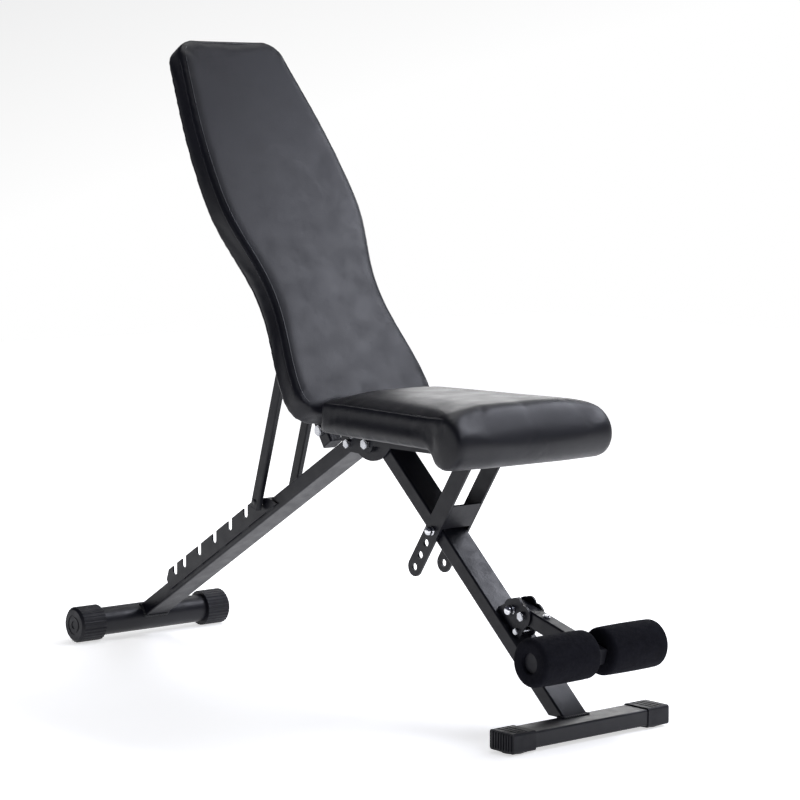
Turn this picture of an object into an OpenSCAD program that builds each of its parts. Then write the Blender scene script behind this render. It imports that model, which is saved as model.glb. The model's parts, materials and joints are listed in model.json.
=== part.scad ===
// Adjustable folding weight bench. Millimetres, +Z up, +X to the sitter's left, the foot
// rollers face -Y. The origin is on the floor, under the middle of the bench.
// Points written [y, z] lie in the bench's middle plane.

/* [Frame] */
// Height of the hinge between the two legs
hinge_z = 402; // [396:1:408]
// Width of the rectangular leg tubes, side to side
leg_w = 50; // [46:1:50]
// Depth of the rectangular leg tubes
leg_d = 25; // [22:1:25]
// Wall of every frame tube
wall = 2; // [1.5:0.5:3]
// Length of the front floor bar, over its end caps
front_base_len = 322; // [290:1:340]
// Length of the rear floor bar, over its end caps
rear_base_len = 326; // [290:1:340]
// Outer diameter of the rear floor tube
rear_tube_d = 50; // [46:1:52]

/* [Backrest] */
// Lean of the backrest from upright, with its support in the top slot
back_lean = 32.9; // [32:0.1:34]
// Half width of the back pad at its top
back_w_top = 112; // [100:1:120]
// Half width of the back pad at the shoulders
back_w_shoulder = 146; // [135:1:150]
// Half width of the back pad at the waist
back_w_waist = 118; // [100:1:130]
// Half width of the back pad at its lower end
back_w_low = 140; // [125:1:145]

/* [Seat] */
// Half width of the seat pad at its rear edge
seat_w_rear = 123; // [105:1:130]
// Half width of the seat pad at the rolled front edge
seat_w_front = 162; // [140:1:162]
// Radius of the rolled front edge
nose_r = 41.5; // [36:0.5:42]
// Pitch of the holes in the seat adjuster bars
hole_pitch = 25; // [22:1:25]

/* [Foot rollers] */
// Diameter of the foam rollers
roller_d = 74; // [66:1:74]
// Length of one foam roller
roller_len = 115; // [90:1:115]

/* [Hidden] */
$fn = 64;

BLACK = [0.09, 0.09, 0.10];
VINYL = [0.06, 0.06, 0.07];
PLASTIC = [0.05, 0.05, 0.05];
ZINC = [0.75, 0.76, 0.78];
WOOD = [0.72, 0.58, 0.40];

run = 0.05;          // radial clearance of a running fit
fit = 0.15;          // radial clearance of a bolt in a plain hole
gap = 0.3;           // air between parts of different bodies
corner = 3;          // outer corner radius of the rectangular tubes
bolt_r = 5;

// Main points, [y, z]
LEG_HINGE = [-34, hinge_z];
MAIN_HINGE = [-91, 407];
BACK_HINGE = [-22, 426];
REAR_FOOT = [581, 32];
REAR_LEG_LOW = [587.8, 32];
FRONT_LEG_TOP = [-113.6, 405];
FRONT_LEG_LOW = [-522.8, 33];
FRONT_FOOT = [-554, 18];
ADJUST_HINGE = [-334, 411];
SEAT_PIN = [-248, 283];
HOLDER_HINGE = [-440, 171];
ROLLER_AXIS = [-576, 133];
SUPPORT_PIN = [201, 283];

// Directions in the middle plane
function unit(v) = v / norm(v);
function dir_angle(v) = atan2(v[1], v[0]);
leg_dir = unit(REAR_LEG_LOW - LEG_HINGE);
leg_up = [-leg_dir[1], leg_dir[0]];
front_dir = unit(FRONT_LEG_TOP - FRONT_LEG_LOW);
front_out = [-front_dir[1], front_dir[0]];
back_dir = [sin(back_lean), cos(back_lean)];
back_rear = [cos(back_lean), -sin(back_lean)];
holder_dir = unit(HOLDER_HINGE - ROLLER_AXIS);
holder_up = [-holder_dir[1], holder_dir[0]];
bar_dir = unit(ADJUST_HINGE - SEAT_PIN);

function on_back(s, n) = BACK_HINGE + s * back_dir + n * back_rear;
function on_leg(s, n) = LEG_HINGE + s * leg_dir + n * leg_up;
function on_front(s, n) = FRONT_LEG_LOW + s * front_dir + n * front_out;

support_s = 220.4;               // support frame pivot, along the back rails
SUPPORT_HINGE = on_back(support_s, 0);
support_dir = unit(SUPPORT_PIN - SUPPORT_HINGE);

plate_t = 3;                     // hinge and ladder plates
plate_x = leg_w / 2 + 0.3;
leg_hinge_end = 14;              // rear leg stops this far past its hinge
stop_r = 5.8;
STOP = on_leg(-(leg_hinge_end + stop_r + 0.2), 7);

rail_x = 49;                     // inner face of each back rail
rail_w = 25;
rail_len = 590;
rail_low = -24;
support_x = 32;                  // inner face of each support leg
support_w = 11;
support_d = 20;
pin_r = 5.5;

channel_in = 33;                 // inner half width of the seat channel
channel_t = 3;
channel_low = 405;
channel_top = 430;
channel_rear = -76;
channel_front = -352;
lug_r = 15;

board_t = 12;
pad_front = -58.5;               // front face of the back pad, across the rails
pad_back = -rail_w / 2 - board_t;
pad_low = 2;
pad_chamfer = 10;
pad_high = 730;

seat_top = 484;
seat_board_t = 10;
seat_rear = -93;
NOSE = [-419, seat_top - nose_r];

bar_in = 28.6;                   // inner face of each adjuster bar
bar_t = 4;
bar_w = 31;
hole_r = 6;

ear_in = 12.8;
ear_t = 3;
holder_w = 25;
axle_r = 11;
roller_in = 13.3;

// Shapes

module at(p, x = 0) translate([x, p[0], p[1]]) children();

// A rod along X from x0 to x1
module rod(p, x0, x1, r) at(p, x0) rotate([0, 90, 0]) cylinder(h = x1 - x0, r = r);

module hexagon_rod(p, x0, x1, flats)
    at(p, x0) rotate([0, 90, 0]) cylinder(h = x1 - x0, r = flats / sqrt(3), $fn = 6);

// Both sides of the middle plane
module both() {
    children();
    mirror([1, 0, 0]) children();
}

module rounded(w, d, r) {
    square([w - 2 * r, d], center = true);
    square([w, d - 2 * r], center = true);
    for (x = [-1, 1], y = [-1, 1])
        translate([x * (w / 2 - r), y * (d / 2 - r)]) circle(r = r, $fn = 32);
}

// Lay children that stand along Z at p, leaning along the direction v
module lean(p, v, x = 0) at(p, x) rotate([dir_angle(v) - 90, 0, 0]) children();

// Rectangular tube from p to q, w across and d deep
module tube(p, q, w, d, x = 0, r = corner)
    lean(p, q - p, x) linear_extrude(norm(q - p)) difference() {
        rounded(w, d, r);
        rounded(w - 2 * wall, d - 2 * wall, max(r - wall, 0.6));
    }

module solid_bar(p, q, w, d, x = 0, r = corner)
    lean(p, q - p, x) linear_extrude(norm(q - p)) rounded(w, d, r);

// A flat plate, children drawn in [y, z], from x to x + t
module plate(x, t) translate([x, 0, 0]) rotate([90, 0, 90]) linear_extrude(t) children();

module disc(p, r) translate(p) circle(r = r);

// A straight link between two discs, its sides just inside them
module link(p, q, r) {
    side = r - 0.05;
    disc(p, r);
    disc(q, r);
    translate(p) rotate(dir_angle(q - p)) translate([0, -side]) square([norm(q - p), 2 * side]);
}

module bolt(p, x_head, x_end, r, flats, head_t) {
    hexagon_rod(p, x_head, x_head + head_t, flats);
    rod(p, x_head - 1.2, x_head + 0.01, flats * 0.42);
    rod(p, x_head + head_t - 0.01, x_end, r);
}

module nut(p, x, r, flats, t) difference() {
    union() {
        hexagon_rod(p, x, x + t, flats);
        rod(p, x, x + 1.5, flats * 0.66);
    }
    rod(p, x - 1, x + t + 1, r + run);
}

// Front frame

module front_leg() color(BLACK) {
    low = on_front(-60, 0);
    difference() {
        tube(low, FRONT_LEG_TOP, leg_w, leg_d);
        translate([-leg_w, -700, -60]) cube([2 * leg_w, 400, 91]);
        rod(SEAT_PIN, -leg_w, leg_w, 9);
    }
}

module hinge_plate_shape() difference() {
    union() {
        intersection() {
            disc([-93, 437], 58);
            translate([-150, 360]) square([88, 58]);
        }
        polygon([[-66, 388], [-66, 415], STOP + [-8, 1.5], STOP + [-1, 8], on_back(-10.5, -11.5),
            on_back(0, -10.8), on_back(0, 11), LEG_HINGE + [12, -4], LEG_HINGE + [-4, -12.5]]);
        disc(STOP, 8);
        disc(BACK_HINGE, 11);
        disc(LEG_HINGE, 13);
    }
    disc(MAIN_HINGE, bolt_r + fit);
    disc(STOP, 4 + fit);
    disc(BACK_HINGE, bolt_r + fit);
    disc(LEG_HINGE, bolt_r + fit);
}

module hinge_plates() color(BLACK) both() plate(plate_x, plate_t) hinge_plate_shape();

base_tube_h = 25;
base_top = 31;
cap_len = 44;

module front_base() color(BLACK)
    translate([-front_base_len / 2 + 3, FRONT_FOOT[0], base_top - base_tube_h / 2])
        rotate([90, 0, 90]) linear_extrude(front_base_len - 6) difference() {
            rounded(50, base_tube_h, corner);
            rounded(50 - 2 * wall, base_tube_h - 2 * wall, 1);
        }

module front_base_caps() color(PLASTIC) both() difference() {
    translate([front_base_len / 2 - cap_len, FRONT_FOOT[0], 18]) rotate([90, 0, 90])
        linear_extrude(cap_len) rounded(53, 30, 4);
    translate([front_base_len / 2 - cap_len - 1, FRONT_FOOT[0], base_top - base_tube_h / 2])
        rotate([90, 0, 90]) linear_extrude(cap_len - 2) rounded(50.1, base_tube_h + 0.1, corner);
}

module front_feet() color(PLASTIC) both()
    translate([front_base_len / 2 - 22, FRONT_FOOT[0], 0]) {
        cylinder(h = 3, r = 17);
        translate([-14, -15, 0]) cube([28, 30, 3]);
    }

holder_pin_s = 25;
HOLDER_PIN = HOLDER_HINGE + holder_pin_s * holder_dir;
LOW_EAR = [-428, 146];
EAR_PEAK = [-426, 185];
face_n = leg_d / 2;
bracket_s = [138, 200];

module ear_shape() difference() {
    union() {
        disc(HOLDER_HINGE, 17);
        disc(HOLDER_PIN, 18);
        disc(EAR_PEAK, 13);
        disc(LOW_EAR, 9);
        polygon([HOLDER_HINGE + 16 * holder_up, HOLDER_PIN + 17 * holder_up,
            on_front(bracket_s[1], face_n + ear_t), on_front(bracket_s[1] - 3, face_n - 3),
            on_front(bracket_s[0] + 3, face_n - 3), on_front(bracket_s[0], face_n + ear_t),
            LOW_EAR + [-6, -5], HOLDER_HINGE + [-13, -8]]);
    }
    disc(HOLDER_HINGE, bolt_r + fit);
    disc(HOLDER_PIN, bolt_r + fit);
    disc(LOW_EAR, 3 + fit);
    // keep the ears in front of the leg
    translate(on_front(0, face_n - 20)) rotate(dir_angle(front_dir)) square([400, 20 + 0.2]);
}

module holder_bracket() color(BLACK) {
    both() plate(ear_in, ear_t) ear_shape();
    solid_bar(on_front(bracket_s[0] + 5, face_n + 0.4 + ear_t / 2),
        on_front(bracket_s[1] - 5, face_n + 0.4 + ear_t / 2), 2 * ear_in + 2, ear_t, 0, 0.5);
}

module bracket_bolt() color(ZINC) {
    bolt(LOW_EAR, -ear_in - ear_t - 4, ear_in + ear_t + 6, 3, 9, 4);
    hexagon_rod(LOW_EAR, ear_in + ear_t, ear_in + ear_t + 4, 9);
}

module seat_pin_bush() color(BLACK) difference() {
    rod(SEAT_PIN, -leg_w / 2, leg_w / 2, 8.9);
    rod(SEAT_PIN, -leg_w, leg_w, bolt_r + run);
}

channel_out = channel_in + channel_t;

module main_hinge_bolt() color(ZINC) bolt(MAIN_HINGE, -channel_out - 6.5, 46, bolt_r, 15, 5.5);

module main_hinge_nut() color(ZINC) nut(MAIN_HINGE, channel_out + 1, bolt_r, 16, 7);

module leg_hinge_bolt() color(ZINC)
    bolt(LEG_HINGE, -plate_x - plate_t - 5, 37, bolt_r, 13, 4.8);

module leg_hinge_nut() color(ZINC) nut(LEG_HINGE, plate_x + plate_t + 0.1, bolt_r, 15, 6);

module stop_bolt() color(ZINC) {
    bolt(STOP, -plate_x - plate_t - 5, plate_x + plate_t + 7, 4, 13, 4.8);
    hexagon_rod(STOP, plate_x + plate_t + 0.1, plate_x + plate_t + 5, 13);
}

module stop_sleeve() color(ZINC) difference() {
    rod(STOP, -plate_x + 0.1, plate_x - 0.1, stop_r);
    rod(STOP, -40, 40, 4 + run);
}

rail_out = rail_x + rail_w;

module back_hinge_bolt() color(ZINC) bolt(BACK_HINGE, -rail_out - 8, rail_out + 11, bolt_r, 16, 7);

module back_hinge_nut() color(ZINC) nut(BACK_HINGE, rail_out + 0.8, bolt_r, 16, 7);

module back_hinge_spacers() color(BLACK) both() difference() {
    rod(BACK_HINGE, plate_x + plate_t, rail_x - gap, 8.5);
    rod(BACK_HINGE, 0, 60, bolt_r + run);
}

module holder_pivot_bolt() color(ZINC)
    bolt(HOLDER_HINGE, -ear_in - ear_t - 5, ear_in + ear_t + 9, bolt_r, 13, 4.8);

module holder_pivot_nut() color(ZINC) nut(HOLDER_HINGE, ear_in + ear_t + 0.1, bolt_r, 15, 6);

// Rear frame

module rear_leg() color(BLACK) difference() {
    tube(on_leg(-leg_hinge_end, 0), REAR_LEG_LOW, leg_w, leg_d);
    rod(LEG_HINGE, -leg_w, leg_w, 8);
    rod(REAR_FOOT, -leg_w, leg_w, rear_tube_d / 2);
    // round off the lower corner, so that the end swings past its stop
    difference() {
        lean(on_leg(-40, 0), leg_dir) translate([-leg_w, 0, 0]) cube([2 * leg_w, 30, 40]);
        rod(LEG_HINGE, -2 * leg_w, 2 * leg_w, leg_hinge_end + 0.6);
    }
}

module rear_leg_bush() color(BLACK) difference() {
    rod(LEG_HINGE, -leg_w / 2, leg_w / 2, 7.9);
    rod(LEG_HINGE, -leg_w, leg_w, bolt_r + run);
}

slot_w = 12;
slot_pitch = 53.3;
// Distance of each slot from the top one, down the leg; the lowest pair sit closer together
slot_s = [for (i = [0 : 5]) i * slot_pitch, 5 * slot_pitch + 32];
tooth_h = 16.4;
ladder_foot = 16;

function slot_at(s) = SUPPORT_PIN + s * leg_dir;

module ladder_shape() difference() {
    first = (SUPPORT_PIN - LEG_HINGE) * leg_dir;
    face = leg_d / 2;
    union() {
        polygon([on_leg(first - 37, face - ladder_foot), on_leg(first - 22, face + 0.5),
            on_leg(first - 8, face + 8), on_leg(first, face + 8), on_leg(first + 12, face + tooth_h),
            on_leg(first + 315, face + tooth_h), on_leg(first + 330, face + 4),
            on_leg(first + 330, face - ladder_foot)]);
    }
    for (s = slot_s) {
        disc(slot_at(s), slot_w / 2);
        translate(slot_at(s) - [slot_w / 2, 0]) square([slot_w, 40]);
    }
}

module ladder_plates() color(BLACK) both() plate(leg_w / 2, plate_t) ladder_shape();

module rear_base() color(BLACK) difference() {
    rod(REAR_FOOT, -rear_base_len / 2 + 4, rear_base_len / 2 - 4, rear_tube_d / 2);
    rod(REAR_FOOT, -rear_base_len, rear_base_len, rear_tube_d / 2 - wall);
}

cap_r = 32;
rib_count = 30;

module ribbed(r) polygon([for (i = [0 : 4 * rib_count - 1])
    let (a = i * 90 / rib_count, ridge = i % 4 < 2 ? 0 : 0.8) (r - ridge) * [cos(a), sin(a)]]);

module rear_base_caps() color(PLASTIC) both() difference() {
    union() {
        at(REAR_FOOT, rear_base_len / 2 - 50) rotate([90, 0, 90]) linear_extrude(46) ribbed(cap_r);
        at(REAR_FOOT, rear_base_len / 2 - 4) rotate([0, 90, 0])
            cylinder(h = 4, r1 = cap_r - 0.8, r2 = cap_r - 5);
    }
    rod(REAR_FOOT, 0, rear_base_len / 2 - 4, rear_tube_d / 2 + 0.05);
    rod(REAR_FOOT, rear_base_len / 2 - 1, rear_base_len, 7);
    difference() {
        rod(REAR_FOOT, rear_base_len / 2 - 1, rear_base_len, 18);
        rod(REAR_FOOT, 0, rear_base_len, 14);
    }
}

// Backrest

bolt_s = [90, 540];              // pad bolts, along the rails
bolt_x = rail_x + rail_w / 2;
screw_r = 3;

module back_rails() color(BLACK) both() difference() {
    tube(on_back(rail_low, 0), on_back(rail_low + rail_len, 0), rail_w, rail_w,
        rail_x + rail_w / 2);
    for (s = [0, support_s]) rod(on_back(s, 0), 0, 90, bolt_r + run);
    for (s = bolt_s) toward_pad(s, rail_w / 2 + 1, bolt_x) cylinder(h = rail_w + 2, r = screw_r + fit);
}

plug_t = 2.5;

module back_rail_plugs() color(PLASTIC) both() for (e = [0, 1]) {
    s = rail_low + e * rail_len;
    out = e == 0 ? -plug_t : plug_t;
    x = rail_x + rail_w / 2;
    inner = rail_w - 2 * wall - 0.2;
    solid_bar(on_back(s, 0), on_back(s + out, 0), rail_w, rail_w, x);
    solid_bar(on_back(s, 0), on_back(s - 4 * out, 0), inner, inner, x, 1);
}

strap_s = [70, 520];
strap_t = 4;
strap_n = -rail_w / 2 + strap_t / 2;

module back_straps() color(BLACK) for (s = strap_s)
    solid_bar(on_back(s, strap_n), on_back(s + 40, strap_n), 2 * rail_x, strap_t, 0, 0.8);

// Half width of the back pad at s along the rails
shoulder_s = 409;
waist_s = 225;
low_s = 10;
function ease(t) = (1 - cos(180 * t)) / 2;
function back_half(s) =
    s > shoulder_s ? back_w_top + (back_w_shoulder - back_w_top)
        * sin(90 * (pad_high - 40 - s) / (pad_high - 40 - shoulder_s))
    : s > waist_s ? back_w_waist + (back_w_shoulder - back_w_waist)
        * ease((s - waist_s) / (shoulder_s - waist_s))
    : s > low_s ? back_w_waist + (back_w_low - back_w_waist)
        * ease((waist_s - s) / (waist_s - low_s))
    : back_w_low;

back_corner = 40;
function back_side(inset) = concat(
    [for (a = [-90 : 10 : 0]) [back_w_low - back_corner, pad_low + back_corner]
        + (back_corner - inset) * [cos(a), sin(a)]],
    [for (s = [40 : 20 : 680]) [back_half(s) - inset, s]],
    [for (a = [0 : 10 : 90]) [back_w_top - back_corner, pad_high - back_corner]
        + (back_corner - inset) * [cos(a), sin(a)]]);

module back_outline(inset) {
    half = back_side(inset);
    n = len(half);
    polygon(concat(half, [for (i = [n - 1 : -1 : 0]) [-half[i][0], half[i][1]]]));
}

// A slab with the pad's outline, from n0 to n1 across the rails
module back_slab(n0, n1, inset)
    lean(on_back(0, n0), back_dir) rotate([90, 0, 0]) mirror([0, 0, 1])
        linear_extrude(n1 - n0) back_outline(inset);

// Children that stand along Z, turned to point from the rails to the pad
module toward_pad(s, n, x) at(on_back(s, n), x) rotate([90 - back_lean, 0, 0]) children();

module back_board() color(WOOD) difference() {
    back_slab(pad_back, -rail_w / 2, 8);
    for (s = bolt_s) both() toward_pad(s, -rail_w / 2 + 1, bolt_x) cylinder(h = board_t + 2, r = 5.1);
}

module back_pad() color(VINYL) difference() {
    back_slab(pad_front, pad_back, 2);
    // cut back the lower front edge, where the seat's rear edge tips towards it
    lean(on_back(pad_low, pad_front), back_dir) rotate([-45, 0, 0])
        translate([-200, -60, -60]) cube([400, 120, 60 + pad_chamfer / sqrt(2)]);
    for (s = bolt_s) both() toward_pad(s, pad_back + 1, bolt_x) cylinder(h = 3, r = 11);
}

module back_pad_bolts() color(ZINC) for (s = bolt_s) both()
    toward_pad(s, rail_w / 2, bolt_x) pad_bolt(rail_w + board_t - 2);

module pad_bolt(reach) {
    translate([0, 0, -1.5]) cylinder(h = 1.5, r = 8);
    translate([0, 0, -5.5]) cylinder(h = 4.1, r = 6.5, $fn = 6);
    translate([0, 0, -0.1]) cylinder(h = reach, r = screw_r);
}

module tee_nut(h) difference() {
    union() {
        cylinder(h = h, r = 5);
        translate([0, 0, h]) cylinder(h = 1.5, r = 10);
    }
    translate([0, 0, -1]) cylinder(h = h, r = screw_r + run);
}

module back_tee_nuts() color(ZINC) for (s = bolt_s) both()
    toward_pad(s, -rail_w / 2, bolt_x) tee_nut(board_t);

module support_hinge_bolt() color(ZINC)
    bolt(SUPPORT_HINGE, -rail_out - 8, rail_out + 11, bolt_r, 16, 7);

module support_hinge_nut() color(ZINC) nut(SUPPORT_HINGE, rail_out + 0.8, bolt_r, 16, 7);

// Support frame

support_end = 12;                // rounded upper end of a support leg, about its hinge

module support_legs() color(BLACK) both() difference() {
    tube(SUPPORT_HINGE - support_end * support_dir, SUPPORT_PIN + 10 * support_dir, support_w,
        support_d, support_x + support_w / 2, 2.6);
    rod(SUPPORT_HINGE, 0, 60, 8);
    rod(SUPPORT_PIN, 0, 60, pin_r);
    difference() {
        lean(SUPPORT_HINGE - 30 * support_dir, support_dir) translate([0, -20, 0]) cube([60, 40, 30]);
        rod(SUPPORT_HINGE, 0, 60, support_end);
    }
}

module support_sleeve() color(BLACK) difference() {
    rod(SUPPORT_HINGE, -support_x - support_w, support_x + support_w, 7.95);
    rod(SUPPORT_HINGE, -60, 60, bolt_r + run);
}

// The cross pin ends short of the ladder plates, where the linkage is opened
module support_pin() color(BLACK) both()
    rod(SUPPORT_PIN, leg_w / 2 + plate_t + gap, support_x + support_w + 1, pin_r - 0.02);

module support_leg_plugs() color(PLASTIC) both() {
    x = support_x + support_w / 2;
    low = SUPPORT_PIN + 10 * support_dir;
    solid_bar(low, low + 2 * support_dir, support_w, support_d, x, 2.5);
}

// Seat

module channel_side() difference() {
    union() {
        translate([channel_front, channel_low])
            square([channel_rear - channel_front, channel_top - channel_low]);
        disc(MAIN_HINGE, lug_r);
        disc(ADJUST_HINGE, 12);
    }
    disc(MAIN_HINGE, bolt_r + run);
    disc(ADJUST_HINGE, bolt_r + fit);
}

seat_bolt_y = [-120, -300];
seat_bolt_x = 20;

module seat_channel() color(BLACK) {
    both() plate(channel_in, channel_t) channel_side();
    difference() {
        translate([-channel_in, channel_front, channel_top - channel_t])
            cube([2 * channel_in, channel_rear - channel_front, channel_t]);
        for (y = seat_bolt_y, x = [-seat_bolt_x, seat_bolt_x])
            translate([x, y, 400]) cylinder(h = 60, r = screw_r + fit);
    }
}

module seat_hinge_washers() color(ZINC) both() difference() {
    rod(MAIN_HINGE, plate_x + plate_t + 0.1, channel_in - 0.1, 10);
    rod(MAIN_HINGE, 0, 60, bolt_r + run);
}

seat_taper = (seat_w_front - seat_w_rear) / (-73 - NOSE[0]);
function seat_half(y) = seat_w_rear + seat_taper * (-73 - y);

module seat_plan(rear, front, inset) polygon([[-seat_half(rear) + inset, rear],
    [seat_half(rear) - inset, rear], [seat_half(front) - inset, front],
    [-seat_half(front) + inset, front]]);

module seat_board() color(WOOD) difference() {
    translate([0, 0, channel_top]) linear_extrude(seat_board_t)
        seat_plan(seat_rear - 4, NOSE[0] + 12, 8);
    for (y = seat_bolt_y, x = [-seat_bolt_x, seat_bolt_x])
        translate([x, y, 400]) cylinder(h = 60, r = 5.1);
}

module seat_profile() {
    low = channel_top + seat_board_t;
    round = 12;
    difference() {
        union() {
            disc(NOSE, nose_r);
            translate([NOSE[0], low]) square([seat_rear - NOSE[0], seat_top - round - low]);
            translate([NOSE[0], low]) square([seat_rear - round - NOSE[0], seat_top - low]);
            disc([seat_rear - round, seat_top - round], round);
        }
        translate([NOSE[0] + 12, channel_top - 60]) square([100, 60 + seat_board_t]);
    }
}

module seat_pad() color(VINYL) difference() {
    intersection() {
        plate(-200, 400) seat_profile();
        translate([0, 0, 300]) linear_extrude(300) union() {
            seat_plan(seat_rear, NOSE[0], 1);
            translate([-seat_w_front + 1, NOSE[0] - 60]) square([2 * seat_w_front - 2, 60]);
        }
    }
    for (y = seat_bolt_y, x = [-seat_bolt_x, seat_bolt_x])
        translate([x, y, 400]) cylinder(h = channel_top + seat_board_t + 2 - 400, r = 11);
}

module seat_pad_bolts() color(ZINC) for (y = seat_bolt_y, x = [-seat_bolt_x, seat_bolt_x])
    translate([x, y, channel_top - channel_t]) pad_bolt(channel_t + seat_board_t - 2);

module seat_tee_nuts() color(ZINC) for (y = seat_bolt_y, x = [-seat_bolt_x, seat_bolt_x])
    translate([x, y, channel_top]) tee_nut(seat_board_t);

module adjuster_bolt() color(ZINC)
    bolt(ADJUST_HINGE, -channel_out - 6, channel_out + 9, bolt_r, 15, 5.8);

module adjuster_nut() color(ZINC) nut(ADJUST_HINGE, channel_out + 0.1, bolt_r, 15, 6);

// Seat adjuster: two flat bars with four holes each, joined by a web

bar_end = 3 * hole_pitch;
BAR_LOW = SEAT_PIN - bar_end * bar_dir;

module adjuster_bars() color(BLACK) both() plate(bar_in, bar_t) difference() {
    link(BAR_LOW, ADJUST_HINGE, bar_w / 2);
    for (i = [0 : 3]) disc(SEAT_PIN - i * hole_pitch * bar_dir, hole_r);
    disc(ADJUST_HINGE, bolt_r + run);
}

web_t = 3;
web_len = 46;

module adjuster_web() color(BLACK) {
    side = [-bar_dir[1], bar_dir[0]];
    low = SEAT_PIN + (bar_w / 2 - web_t / 2) * side + 16 * bar_dir;
    solid_bar(low, low + web_len * bar_dir, 2 * bar_in, web_t, 0, 0.6);
}

module adjuster_spacer() color(BLACK) difference() {
    rod(ADJUST_HINGE, -bar_in + 0.05, bar_in - 0.05, 8);
    rod(ADJUST_HINGE, -60, 60, bolt_r + run);
}

// Seat lock pin: open where the two bars pass

module seat_lock_pin() color(ZINC) {
    rod(SEAT_PIN, -bar_in + gap, bar_in - gap, bolt_r);
    x = bar_in + bar_t + gap;
    rod(SEAT_PIN, -x - 2, -x, 8);
    rod(SEAT_PIN, -x - 11, -x - 2, 6.5);
    rod(SEAT_PIN, x, x + 14, bolt_r);
}

// Leg holder and its rollers

holder_rear = holder_pin_s + 13;
holder_front = -norm(HOLDER_HINGE - ROLLER_AXIS) - 15;

function on_holder(s, n) = HOLDER_HINGE + s * holder_dir + n * holder_up;

module holder_tube() color(BLACK) difference() {
    tube(on_holder(holder_front, 0), on_holder(holder_rear, 0), holder_w, holder_w);
    rod(HOLDER_HINGE, -20, 20, bolt_r + run);
    rod(HOLDER_PIN, -20, 20, hole_r);
    rod(ROLLER_AXIS, -20, 20, axle_r);
}

module holder_plugs() color(PLASTIC) {
    inner = holder_w - 2 * wall - 0.2;
    solid_bar(on_holder(holder_front - 2.5, 0), on_holder(holder_front, 0), holder_w, holder_w);
    solid_bar(on_holder(holder_front, 0), on_holder(holder_front + 3, 0), inner, inner, 0, 1);
    solid_bar(on_holder(holder_rear, 0), on_holder(holder_rear + 1.5, 0), holder_w, holder_w);
    solid_bar(on_holder(holder_rear - 5, 0), on_holder(holder_rear, 0), inner, inner, 0, 1);
}

roller_out = roller_in + roller_len;
pocket = 9.4;                    // depth of the pocket in a roller's outer end
axle_end = roller_out - 9;

module roller_axle() color(BLACK) difference() {
    rod(ROLLER_AXIS, -axle_end, axle_end, axle_r);
    rod(ROLLER_AXIS, -roller_out, roller_out, axle_r - wall);
}

module axle_plugs() color(PLASTIC) both() {
    rod(ROLLER_AXIS, axle_end, axle_end + 3, 15);
    rod(ROLLER_AXIS, axle_end - 15, axle_end + 0.01, axle_r - wall - 0.05);
}

module holder_screw() color(ZINC) lean(on_holder(-35, holder_w / 2), holder_up) {
    cylinder(h = 3.5, r = 4.5, $fn = 6);
    cylinder(h = 1, r = 6);
}

// The pull pin ends short of the holder tube, so the tube can swing past it
module holder_pin() color(ZINC) {
    x = ear_in + ear_t;
    rod(HOLDER_PIN, -x, -holder_w / 2 - gap, bolt_r);
    rod(HOLDER_PIN, -x - 2, -x, 8.5);
    rod(HOLDER_PIN, -x - 12, -x - 2, 7);
    rod(HOLDER_PIN, holder_w / 2 + gap, x + 6, bolt_r);
}

module roller_core() difference() {
    rod(ROLLER_AXIS, roller_in, roller_out - pocket, 14);
    rod(ROLLER_AXIS, 0, 200, axle_r + run);
}

foam_edge = 6;

module roller_foam() difference() {
    union() {
        rod(ROLLER_AXIS, roller_in + foam_edge, roller_out - foam_edge, roller_d / 2);
        rod(ROLLER_AXIS, roller_in, roller_out, roller_d / 2 - foam_edge);
        for (x = [roller_in + foam_edge, roller_out - foam_edge]) at(ROLLER_AXIS, x)
            rotate([0, 90, 0]) rotate_extrude() translate([roller_d / 2 - foam_edge, 0])
                circle(r = foam_edge, $fn = 32);
    }
    rod(ROLLER_AXIS, 0, 200, 14.05);
    rod(ROLLER_AXIS, roller_out - pocket, 200, 15.4);
}

module left_roller_core() color(PLASTIC) roller_core();
module left_roller_foam() color(PLASTIC) roller_foam();
module right_roller_core() color(PLASTIC) mirror([1, 0, 0]) roller_core();
module right_roller_foam() color(PLASTIC) mirror([1, 0, 0]) roller_foam();

front_leg();
hinge_plates();
front_base();
front_base_caps();
front_feet();
holder_bracket();
bracket_bolt();
seat_pin_bush();
main_hinge_bolt();
main_hinge_nut();
leg_hinge_bolt();
leg_hinge_nut();
stop_bolt();
stop_sleeve();
back_hinge_bolt();
back_hinge_nut();
back_hinge_spacers();
holder_pivot_bolt();
holder_pivot_nut();
rear_leg();
rear_leg_bush();
ladder_plates();
rear_base();
rear_base_caps();
back_rails();
back_rail_plugs();
back_straps();
back_board();
back_pad();
back_pad_bolts();
back_tee_nuts();
support_hinge_bolt();
support_hinge_nut();
support_legs();
support_sleeve();
support_pin();
support_leg_plugs();
seat_channel();
seat_hinge_washers();
seat_board();
seat_pad();
seat_pad_bolts();
seat_tee_nuts();
adjuster_bolt();
adjuster_nut();
adjuster_bars();
adjuster_web();
adjuster_spacer();
seat_lock_pin();
holder_tube();
holder_plugs();
roller_axle();
axle_plugs();
holder_screw();
holder_pin();
left_roller_core();
left_roller_foam();
right_roller_core();
right_roller_foam();
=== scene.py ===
import json
from math import cos, pi, radians, sin, sqrt, tanh

import bmesh
import bpy
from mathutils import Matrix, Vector, noise
from mathutils.bvhtree import BVHTree


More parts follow.
